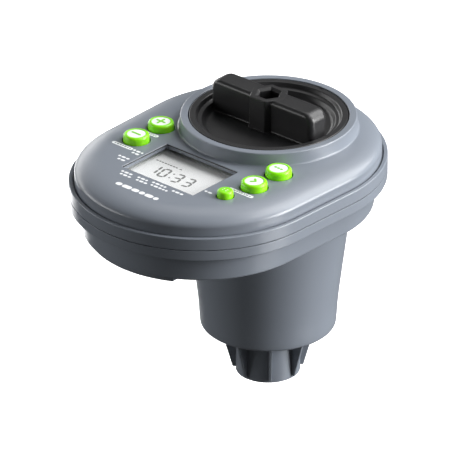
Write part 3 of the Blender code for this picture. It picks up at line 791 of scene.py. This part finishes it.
def cup_shell(finish):
    """Cup for the cells, with the neck that screws onto the valve and its eight gussets."""
    side = smooth_curve([(25.3, 22.4), (26.1, 33.0), (28.6, 53.8), (31.15, TRAY_BOTTOM)], 22)
    outside = rounded([
        (NECK_BORE, 0.0, 0), (NECK_RADIUS, 0.0, 0.35), (NECK_RADIUS, CUP_BOTTOM, 0.5),
        (25.05, CUP_BOTTOM, 1.3), (*side[0], 0),
    ])
    profile = [(NECK_BORE, 0.6), (NECK_BORE + 0.6, 0.0)] + outside[1:] + side[1:]
    profile += [(31.3, 76.7), (33.2, 76.7), (33.2, 78.7), (29.4, 78.7)]
    profile += [(26.4, 53.8), (23.9, 33.0), (22.9, CUP_FLOOR), (5.8, CUP_FLOOR)]
    profile += [(5.8, WEB_BOTTOM), (NECK_BORE, WEB_BOTTOM)]
    steps = [("UNION", gusset(2 * math.pi * index / GUSSETS)) for index in range(GUSSETS)]
    thread = [(0.15, -0.75), (-0.55, -0.2), (-0.55, 0.2), (0.15, 0.75)]
    ridge = helix((0.0, 0.0), (NECK_BORE, NECK_BORE), 1.9, 10.9, 4.5, thread, 48, 0.05)
    steps.append(("UNION", ridge))
    new_piece("cup_shell", turned_ring(profile, ROUND), finish, replaces=["cup_housing"],
              steps=steps, sharp=24)


def drive_screw(name, finish):
    """Pan-head screw seen from below: domed head, cross recess, thread on the shank."""
    low, high = box_mm(name)
    place = tuple(middle_of(name)[:2])
    radius = (high.x - low.x) / 2
    seat = low.z + 2.2
    head = [(0.05, low.z), (radius * 0.45, low.z + 0.06), (radius * 0.8, low.z + 0.45),
            (radius * 0.97, low.z + 1.1), (radius, seat - 0.2), (radius - 0.1, seat),
            (SCREW_SHANK, seat), (SCREW_SHANK, high.z - 1.6), (0.2, high.z)]
    steps = []
    for half_x, half_y in ((1.5, 0.36), (0.36, 1.5)):
        steps.append(("DIFFERENCE", outline_loft([
            (rounded_rectangle(half_x, half_y, 0.12, 3, place), low.z - 0.5),
            (rounded_rectangle(half_x * 0.6, half_y * 0.7, 0.1, 3, place), low.z + 1.5),
        ])))
    ridge = [(-0.1, -0.35), (0.34, 0.0), (-0.1, 0.35)]
    thread = helix(place, (SCREW_SHANK, SCREW_SHANK), seat + 3.0, high.z - 2.2, 10, ridge, 20, 0.04)
    steps.append(("UNION", thread))
    new_piece("drive_screw_" + name[-1], turned(head, 36, place), finish, replaces=[name],
              steps=steps, sharp=35)


# ---- battery cap

def grip_bar():
    """Bar across the cap: upright sides with a small foot fillet, rounded top edges."""
    half_length, half_width, rounding, end_rounding, foot = 24.4, 4.65, 1.6, 3.8, 0.7
    corner = 2.2
    base = rounded_rectangle(half_length + foot, half_width + foot, corner + foot)
    rows = [(base, BOWL_FLOOR - 0.9)]
    for k in range(6):
        angle = math.radians(8) + math.radians(82) * k / 5
        out = foot * (1 - math.sin(angle))
        rows.append((
            rounded_rectangle(half_length + out, half_width + out, corner + out),
            BOWL_FLOOR + foot * (1 - math.cos(angle)),
        ))
    for k in range(13):
        angle = math.pi / 2 * k / 12
        inset = end_rounding * (1 - math.cos(angle))
        rise = end_rounding * math.sin(angle)
        side = min(max(rounding - end_rounding + rise, 0.0) / rounding, 1.0)
        across = rounding * (1 - math.sqrt(1 - side ** 2))
        rows.append((
            rounded_rectangle(half_length - inset, half_width - across, corner - across * 0.6),
            GRIP_TOP - end_rounding + rise,
        ))
    return outline_loft(rows)


def hexagon_rows(rows, edge_rounding):
    return outline_loft([(rounded_hexagon(radius, edge_rounding), z) for radius, z in rows])


def cap_body(finish):
    """Battery cap: threaded skirt, flange, bowl with a step, grip bar and key boss."""
    bowl = rounded([
        (0.5, 98.9, 0), (24.2, 98.9, 0.4), (24.2, SKIRT_BOTTOM, 0.3),
        (SKIRT_RADIUS, SKIRT_BOTTOM, 0.4), (SKIRT_RADIUS, FLANGE_BOTTOM, 0.2),
        (CAP_RADIUS, FLANGE_BOTTOM, 0.25), (CAP_RADIUS, CAP_RIM, 0.35), (26.6, CAP_RIM, 0.5),
        (25.9, 103.45, 0.6), (24.4, 103.15, 0.5), (23.1, BOWL_FLOOR, 1.6), (0.5, BOWL_FLOOR, 0),
    ], 7)
    steps = [
        ("UNION", grip_bar()),
        ("UNION", hexagon_rows(
            [(8.3, BOWL_FLOOR - 0.9), (8.1, BOWL_FLOOR + 0.02), (7.8, BOWL_FLOOR + 0.18),
             (7.68, BOWL_FLOOR + 0.5), (7.4, GRIP_TOP - 0.32), (7.3, GRIP_TOP - 0.1),
             (7.1, GRIP_TOP + 0.02)], 0.8)),
        ("DIFFERENCE", hexagon_rows(
            [(4.2, 103.5), (4.2, GRIP_TOP - 0.95), (4.3, GRIP_TOP - 0.8), (5.45, GRIP_TOP + 0.3)],
            0.12)),
    ]
    thread = [(-0.12, -0.95), (0.42, -0.35), (0.42, 0.35), (-0.12, 0.95)]
    steps.append(("UNION", helix(
        (0.0, 0.0), (SKIRT_RADIUS, SKIRT_RADIUS), SKIRT_BOTTOM + 1.4, SKIRT_BOTTOM + 6.8,
        1.35, thread, 96, 0.08)))
    notch = rounded_rectangle(0.7, 1.1, 0.3, 4, (0.8, 28.6))
    steps.append(("DIFFERENCE", plate(notch, CAP_RIM - 0.5, CAP_RIM + 1.0)))
    new_piece("cap_body", turned(bowl, ROUND), finish, "cap", ["battery_cap"],
              steps, 24)


def seal_ring(finish):
    """Round cord seal under the cap's flange, squeezed a little flat."""
    low, high = box_mm("cap_seal")
    half = (high.z - low.z) / 2
    spread = 1.3
    middle = (high.x - spread * half, (low.z + high.z) / 2)
    section = [
        (middle[0] + spread * out, middle[1] + up) for out, up in round_section(half, 20)
    ]
    new_piece("seal_ring", turned_ring(section, ROUND), finish, "cap_carrier", ["cap_seal"])


# ---- buttons

def key_skirt(radius, low, stem):
    """Lower half of every button's profile: stem, hidden rim and the start of its wall."""
    rim = radius + BUTTON_FLANGE
    return [
        (0.5, low.z, 0), (stem, low.z, 0.3), (stem, BUTTON_RIM_Z - BUTTON_RIM_DEPTH, 0.2),
        (rim, BUTTON_RIM_Z - BUTTON_RIM_DEPTH, 0.15), (rim, BUTTON_RIM_Z, 0.15),
        (radius, BUTTON_RIM_Z, 0.1),
    ]


def key_piece(name, profile, finish):
    mesh_data = turned(rounded(profile, 8), SMALL_ROUND, button_place(name)[0])
    new_piece("key_" + name[7:], mesh_data, finish, name, [name], sharp=40)


def key(name, finish, disc_finish):
    """Large button: tapered skirt, soft top edge, and a disc that sits in its top."""
    centre, radius = button_place(name)
    low, high = box_mm(name)
    recess = DISC_RADIUS + 0.06
    key_piece(name, key_skirt(radius, low, 2.2) + [
        (radius - 0.14, high.z, 0.95), (recess, high.z - 0.02, 0.12), (recess, high.z - 1.1, 0),
        (0.5, high.z - 1.1, 0),
    ], finish)
    disc = [(DISC_RADIUS, high.z - 0.9), (DISC_RADIUS, high.z - DISC_CROWN - 0.12)]
    for k in range(1, 9):
        share = k / 8
        disc.append((DISC_RADIUS * (1 - share) + 0.4 * share,
                     high.z - 0.1 - DISC_CROWN * (1 - share) ** 2 * 0.9))
    new_piece("disc_" + name[7:], turned(disc, SMALL_ROUND, centre), disc_finish, name,
              [name + "_disc"], sharp=40)


def small_key(name, finish):
    radius = button_place(name)[1]
    low, high = box_mm(name)
    key_piece(name, key_skirt(radius, low, 1.8) + [
        (radius - 0.12, high.z - 0.12, 0.85), (0.4, high.z, 0),
    ], finish)


def stroke(start, end, half, z, thickness):
    """Flat bar with round ends between two plan points."""
    along = Vector(end) - Vector(start)
    turn = math.atan2(along.y, along.x)
    outline = []
    for centre, first in ((Vector(end), -math.pi / 2), (Vector(start), math.pi / 2)):
        for i in range(9):
            angle = turn + first + math.pi * i / 8
            outline.append((centre.x + half * math.cos(angle), centre.y + half * math.sin(angle)))
    return plate(outline, z, z + thickness)


def symbols(ink):
    """Raised signs on the discs: plus, minus, an arrowhead to the right, three dots."""
    half = 0.42
    strokes = {
        "button_plus": [((-1.7, 0.0), (1.7, 0.0)), ((0.0, -1.7), (0.0, 1.7))],
        "button_minus": [((-1.8, 0.0), (1.8, 0.0))],
        "button_next": [((-0.5, 1.15), (0.7, 0.0)), ((0.7, 0.0), (-0.5, -1.15))],
        "button_set": [((x - 0.15, 0.0), (x + 0.15, 0.0)) for x in (-1.35, 0.0, 1.35)],
    }
    for name, lines in strokes.items():
        centre = button_place(name)[0]
        top = box_mm(name)[1].z
        parts = []
        for start, end in lines:
            parts.append(stroke(
                (centre[0] + start[0], centre[1] + start[1]),
                (centre[0] + end[0], centre[1] + end[1]), half, top - 0.22, 0.2,
            ))
        base = parts.pop(0)
        new_piece("sign_" + name[7:], base, ink, name,
                  steps=[("UNION", part) for part in parts])


def mode_dots(ink):
    """Four small printed dots on the little button."""
    centre = button_place(SMALL_BUTTON)[0]
    top = box_mm(SMALL_BUTTON)[1].z
    parts = []
    for dx, dy in ((-0.75, 0.45), (0.75, 0.45), (-0.75, -0.55), (0.75, -0.55)):
        parts.append(rod(0.26, top - 0.3, top, 20, (centre[0] + dx, centre[1] + dy)))
    new_piece("mode_dots", merge(*parts), ink, SMALL_BUTTON)


def switch_boot(name, finish):
    """Rubber dome under a button, of the kind that folds down as the button is pressed."""
    low, high = box_mm(name + "_boot")
    centre = button_place(name)[0]
    wide = (high.x - low.x) / 2
    profile = rounded([
        (wide - 0.9, low.z, 0), (wide, low.z, 0.1), (wide, low.z + 0.7, 0.3), (2.4, high.z, 0.3),
        (0.5, high.z, 0), (0.5, high.z - 0.7, 0), (1.7, high.z - 0.7, 0.2),
        (wide - 0.9, low.z + 0.6, 0.2),
    ], 4)
    item = new_piece("boot_" + name[7:], turned_ring(profile, 40, centre), finish, "housing",
                     [name + "_boot"])
    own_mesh(item)


# ---- display and printing

def lens(finish):
    """Clear window under the opening, its edges eased."""
    edge = 0.15
    half_x = WINDOW_HALF_X + LENS_LIP
    half_y = WINDOW_HALF_Y + LENS_LIP
    rows = []
    for inset, z in ((edge, LENS_LOW.z), (0.0, LENS_LOW.z + edge), (0.0, LENS_HIGH.z - edge),
                     (edge, LENS_HIGH.z)):
        outline = rounded_rectangle(half_x - inset, half_y - inset, 0.8, 5, (WINDOW_X, WINDOW_Y))
        rows.append((outline, z))
    new_piece("lens", outline_loft(rows), finish, replaces=["display_window"])


def display_lip_shade_line(finish):
    """Thin dark ring around the mouth of the display opening, shaped as a gasket: a painted shade
    line standing in for the shadow at the opening's lip.
    """
    rows = []
    for out, z in ((0.06, FACE - 0.5), (0.06, FACE - 0.2), (-0.08, FACE - 0.14),
                   (-0.18, FACE - 0.24), (-0.18, FACE - 0.5)):
        rows.append([(x, y, z) for x, y in window_outline(out)])
    new_piece("display_lip_shade_line", loft(rows, closed=True), finish)


# Clock readout: which bars of a digit are lit, and where each digit stands.
SEGMENTS = {"0": "abcdef", "1": "bc", "3": "abcdg"}
READOUT = (("1", -12.8), ("0", -8.2), ("3", -1.75), ("3", 3.55))
COLON_X = -4.65
DIGIT_HALF_WIDTH = 1.38
DIGIT_HALF_HEIGHT = 2.95
DIGIT_BAR = 0.42
DIGIT_SLANT = -0.15
DIGIT_TILT = 0.22
SEGMENT_Z = PANEL_TOP + 0.01
SEGMENT_DEPTH = 0.03


def segment_ends(label):
    """Two ends of a seven-segment bar in the digit's own plan."""
    corners = {
        "a": ((-1, 1), (1, 1)), "b": ((1, 1), (1, 0)), "c": ((1, 0), (1, -1)),
        "d": ((-1, -1), (1, -1)), "e": ((-1, 0), (-1, -1)), "f": ((-1, 1), (-1, 0)),
        "g": ((-1, 0), (1, 0)),
    }[label]
    return [(sx * DIGIT_HALF_WIDTH, sy * DIGIT_HALF_HEIGHT) for sx, sy in corners]


def segment(outline):
    return plate(outline, SEGMENT_Z, SEGMENT_Z + SEGMENT_DEPTH)


def pointed_bar(start, end, half):
    """Flat bar with pointed ends, a little shorter than the line it stands on."""
    a, b = Vector(start), Vector(end)
    along = (b - a).normalized()
    side = Vector((-along.y, along.x)) * half
    a += along * 0.12
    b -= along * 0.12
    outline = [a, a + along * half - side, b - along * half - side, b,
               b - along * half + side, a + along * half + side]
    return segment([tuple(point) for point in outline])


def lcd_readout(ink):
    """Clock digits with a colon and a row of small bars above, on the panel's face."""
    middle_y = WINDOW_Y - 0.3

    def placed(x, y, centre_x):
        return (centre_x + x + DIGIT_SLANT * y, middle_y + y + DIGIT_TILT * x)
    parts = []
    for digit, centre_x in READOUT:
        for label in SEGMENTS[digit]:
            start, end = segment_ends(label)
            parts.append(pointed_bar(placed(*start, centre_x), placed(*end, centre_x), DIGIT_BAR))
    for y in (-1.6, 1.6):
        parts.append(segment(rounded_rectangle(0.36, 0.36, 0.1, 3, placed(0.0, y, COLON_X))))
    new_piece("lcd_digits", merge(*parts), ink)
    parts = []
    row_y = WINDOW_Y + 5.7
    x = -17.2
    for width in (0.8, 0.5, 0.9, 0.8, 0.4, 0.9, 0.8, 0.5):
        end = (x + width * 0.7, row_y)
        parts.append(stroke((x, row_y), end, 0.3, SEGMENT_Z, SEGMENT_DEPTH))
        x += width + 0.62
    pointer = [(-6.2, row_y - 0.35), (-4.8, row_y - 0.35), (-5.5, row_y + 0.45)]
    parts.append(segment(pointer))
    new_piece("lcd_annunciators", merge(*parts), ink)


def label_row(x0, x1, y, height, z=INK_Z, dash=1.5):
    """A row of short rounded dashes that stands for one line of printed label."""
    parts = []
    x = x0
    widths = (0.8, 1.25, 0.95, 0.7, 1.1)
    half = height / 2
    index = 0
    while x < x1 - 0.35:
        width = min(dash * widths[index % len(widths)], x1 - x)
        end = max(x + width - half, x + half + 0.01)
        parts.append(stroke((x + half, y), (end, y), half, z, INK_DEPTH))
        x += width + 0.34
        index += 1
    return parts


def patch(x, y, length):
    """Rounded label patch beside a button."""
    half = PATCH_HEIGHT / 2
    reach = length / 2 - half
    return stroke((x - reach, y), (x + reach, y), half, INK_Z, INK_DEPTH)


def face_marks(ink, dark_ink):
    """White printing on the face: label patches by the buttons and lines of dashes."""
    parts = []
    front = WINDOW_Y - WINDOW_HALF_Y
    left = WINDOW_X - WINDOW_HALF_X
    rows = [
        (left - 5.9, left - 1.4, -46.9), (left - 5.0, left - 1.0, -48.7),
        (left - 7.0, left - 1.6, -53.6), (left - 5.6, left - 1.8, -55.6),
        (-15.9, -10.3, front - 2.6), (-14.9, -9.3, front - 4.5),
        (-8.2, -3.4, front - 2.4), (-7.3, -1.8, front - 4.3),
        (-1.6, 5.0, front - 1.9), (-0.7, 6.6, front - 3.8),
        (8.2, 13.4, front - 2.2), (17.0, 20.6, -54.0),
    ]
    for x0, x1, y in rows:
        parts += label_row(x0, x1, y, LABEL_HEIGHT)
    parts += label_row(-11.0, 8.4, front - 10.8, BRAND_HEIGHT, dash=3.4)
    new_piece("face_marks", merge(*parts), ink)
    patches = ((-29.1, -47.0, 9.8), (-28.3, -33.4, 8.6), (27.7, -46.7, 11.6))
    new_piece("label_patches", merge(*[patch(*place) for place in patches]), ink)
    marks = []
    for x, y, length in patches:
        marks += label_row(x - length / 2 + 1.1, x + length / 2 - 0.9, y, PATCH_MARK_HEIGHT,
                           INK_Z + INK_DEPTH, 0.9)
    new_piece("patch_marks", merge(*marks), dark_ink)


# ---- inside pieces

def springs(finish):
    """Contact springs of the cells and the plunger's return spring."""
    for index in range(1, 5):
        node = f"cell_{index}_spring"
        low, high = box_mm(node)
        centre = middle_of(node)
        wire = 0.28
        stands = low.z < (CUP_FLOOR + FACE) / 2
        radii = (4.6, 2.6) if stands else (2.6, 4.6)
        coil = helix(centre[:2], radii, low.z + wire, high.z - wire, 3.0, round_section(wire), 40)
        new_piece(f"contact_spring_{index}", coil, finish, replaces=[node])
    low, high = box_mm("plunger_spring")
    wire = 0.24
    coil = helix((0.0, 0.0), (2.8, 2.8), low.z + wire, high.z - wire, 5.0, round_section(wire), 40)
    item = new_piece("return_spring", coil, finish, replaces=["plunger_spring"])
    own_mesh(item)


def dress(material, *names):
    """Gives carried-over CAD nodes a finished material."""
    for name in names:
        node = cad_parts[name]
        node.data.materials.clear()
        node.data.materials.append(material)


# ---- stage

CAMERA_AZIMUTH = math.radians(41.536)
CAMERA_ELEVATION = math.radians(27.527)
CAMERA_DISTANCE = 2.424
CAMERA_LENS = 513.6
AIM_RIGHT = -0.01443
AIM_UP = 0.05139


def view_axes(azimuth, elevation):
    """Right, up and forward directions of a view from that azimuth and elevation."""
    right = Vector((math.cos(azimuth), math.sin(azimuth), 0.0))
    forward = Vector((
        -math.sin(azimuth) * math.cos(elevation), math.cos(azimuth) * math.cos(elevation),
        -math.sin(elevation),
    ))
    return right, right.cross(forward), forward


def add_camera():
    right, up, forward = view_axes(CAMERA_AZIMUTH, CAMERA_ELEVATION)
    data = bpy.data.cameras.new("camera")
    data.lens = CAMERA_LENS
    data.sensor_width = 36.0
    data.clip_start = 0.1
    data.clip_end = 20.0
    camera = add_object("camera", data)
    camera.location = right * AIM_RIGHT + up * AIM_UP - forward * CAMERA_DISTANCE
    camera.rotation_mode = "QUATERNION"
    camera.rotation_quaternion = forward.to_track_quat("-Z", "Y")
    bpy.context.scene.camera = camera


LIGHT_DISTANCE = 1.0
LIGHT_AIM = Vector((0.0, -0.02, 0.08))


def softbox(name, azimuth, elevation, width, height, power):
    """Area light that faces the object from a direction given as seen from the object."""
    away = -view_axes(math.radians(azimuth), math.radians(elevation))[2]
    data = bpy.data.lights.new(name, "AREA")
    data.shape = "RECTANGLE"
    data.size = width
    data.size_y = height
    data.energy = power
    light = add_object(name, data)
    light.location = LIGHT_AIM + away * LIGHT_DISTANCE
    light.rotation_mode = "QUATERNION"
    light.rotation_quaternion = (-away).to_track_quat("-Z", "Y")


# Name, azimuth and elevation in degrees, width and height in metres, power in watts.
LIGHTS = (
    ("right_box", 118.0, 14.0, 0.45, 0.6, 17.0),
    ("right_high_box", 100.0, 52.0, 0.6, 0.35, 1.0),
    ("right_back_box", 156.0, 47.0, 0.7, 0.8, 11.5),
    ("left_box", -54.0, 10.0, 0.9, 0.35, 4.8),
    ("left_back_box", -106.0, 12.0, 0.8, 0.35, 3.6),
    ("left_low_box", -115.0, -20.0, 0.5, 0.35, 2.8),
    ("right_low_box", 106.0, -22.0, 0.4, 0.3, 2.4),
    ("back_box", -150.0, 52.0, 0.6, 0.4, 1.2),
)
WORLD_STRENGTH = 0.07


def add_lights():
    for settings in LIGHTS:
        softbox(*settings)
    world = bpy.data.worlds.new("studio")
    world.use_nodes = True
    background = world.node_tree.nodes["Background"]
    background.inputs["Color"].default_value = (1.0, 1.0, 1.0, 1.0)
    background.inputs["Strength"].default_value = WORLD_STRENGTH
    bpy.context.scene.world = world
    bpy.context.scene.view_settings.view_transform = "Standard"


FLOOR_HALF = 6.0
FLOOR_Z = -0.12
FLOOR_GLOW = 0.75


def add_floor():
    """Pale studio floor below the neck, lit evenly."""
    mesh_data = bmesh.new()
    corners = [mesh_data.verts.new((x * FLOOR_HALF, y * FLOOR_HALF, 0.0)) for x, y in
               ((-1, -1), (1, -1), (1, 1), (-1, 1))]
    mesh_data.faces.new(corners)
    mesh = bpy.data.meshes.new("floor")
    mesh_data.to_mesh(mesh)
    mesh_data.free()
    floor = add_object("floor", mesh)
    floor.location = (0.0, 0.0, FLOOR_Z)
    nodes = Nodes("floor_paper")
    nodes.set(
        Base_Color=nodes.mix(nodes.noise(3.0), (0.80, 0.80, 0.80), (0.84, 0.84, 0.84)),
        Roughness=0.9, Emission_Color=(1.0, 1.0, 1.0, 1.0), Emission_Strength=FLOOR_GLOW,
    )
    mesh.materials.append(nodes.material)
    floor.visible_diffuse = False
    floor.visible_glossy = False


# ---- assembly

def build():
    housing = moulded_plastic("grey_plastic", (0.193, 0.215, 0.250), 0.31)
    black = moulded_plastic("black_plastic", (0.016, 0.016, 0.017), 0.36, 900.0, 0.00003, 0.10)
    inner_black = moulded_plastic("inner_black", (0.028, 0.028, 0.030), 0.5)
    natural = moulded_plastic("natural_nylon", (0.62, 0.60, 0.53), 0.45)
    soft = rubber("seal_rubber", (0.018, 0.018, 0.018), 0.68)
    grey_rubber = rubber("silicone", (0.16, 0.16, 0.17), 0.60)
    green = button_plastic("lime_plastic", (0.27, 0.78, 0.003), (0.17, 0.64, 0.002))
    white = moulded_plastic("white_plastic", (0.83, 0.85, 0.82), 0.38, 900.0, 0.00001, 0.02)
    green_ink = printed_ink("green_ink", (0.18, 0.62, 0.008), 0.45)
    white_ink = printed_ink("white_ink", (0.82, 0.84, 0.86), 0.5)
    segment_ink = printed_ink("segment_ink", (0.12, 0.125, 0.12), 0.5)
    steel = metal("steel_finish", (0.56, 0.57, 0.58), 0.36)
    nickel = metal("nickel_plate", (0.66, 0.63, 0.56), 0.36)
    brass = metal("brass_finish", (0.70, 0.50, 0.22), 0.36)
    ferrite = metal("ferrite_grey", (0.10, 0.10, 0.11), 0.55)

    cover_shell(housing)
    tray_shell(housing)
    cup_shell(housing)
    for name in SCREWS:
        drive_screw(name, steel)
    cap_body(black)
    seal_ring(soft)
    for name in LARGE_BUTTONS:
        key(name, green, white)
        switch_boot(name, grey_rubber)
    small_key(SMALL_BUTTON, green)
    switch_boot(SMALL_BUTTON, grey_rubber)
    symbols(green_ink)
    mode_dots(white_ink)
    lens(lens_plastic("clear_acrylic"))
    # dark ring at the display opening's lip: painted shade in the form of a gasket
    display_lip_shade_line(soft)
    lcd_readout(segment_ink)
    face_marks(white_ink, printed_ink("grey_ink", (0.20, 0.22, 0.25), 0.5))
    springs(nickel)

    dress(lcd_glass("lcd_face"), "lcd_panel")
    dress(soft, "housing_seal", "valve_seal", "plunger_seal", "lcd_contact_strip")
    dress(white, "lcd_frame")
    dress(inner_black, "controller_chip", "battery_holder")
    dress(natural, "coil_bobbin", "wire_connector")
    dress(board_lacquer("board_lacquer"), "circuit_board")
    dress(nickel, "contact_top_front", "contact_top_back", "contact_bottom_bridge",
          "contact_bottom_back", "contact_bottom_front", "storage_capacitor")
    dress(steel, "solenoid_can", "fixed_core", "plunger")
    dress(brass, "guide_tube")
    dress(ferrite, "latch_magnet")
    dress(wound_copper("magnet_wire"), "coil_winding")
    dress(cell_label("cell_sleeve"), "cell_1", "cell_2", "cell_3", "cell_4")
    dress(lead_insulation("red_lead", (0.52, 0.03, 0.02)), "battery_lead")
    dress(lead_insulation("black_lead", (0.03, 0.03, 0.03)), "coil_lead")

    add_camera()
    add_lights()
    add_floor()


build()
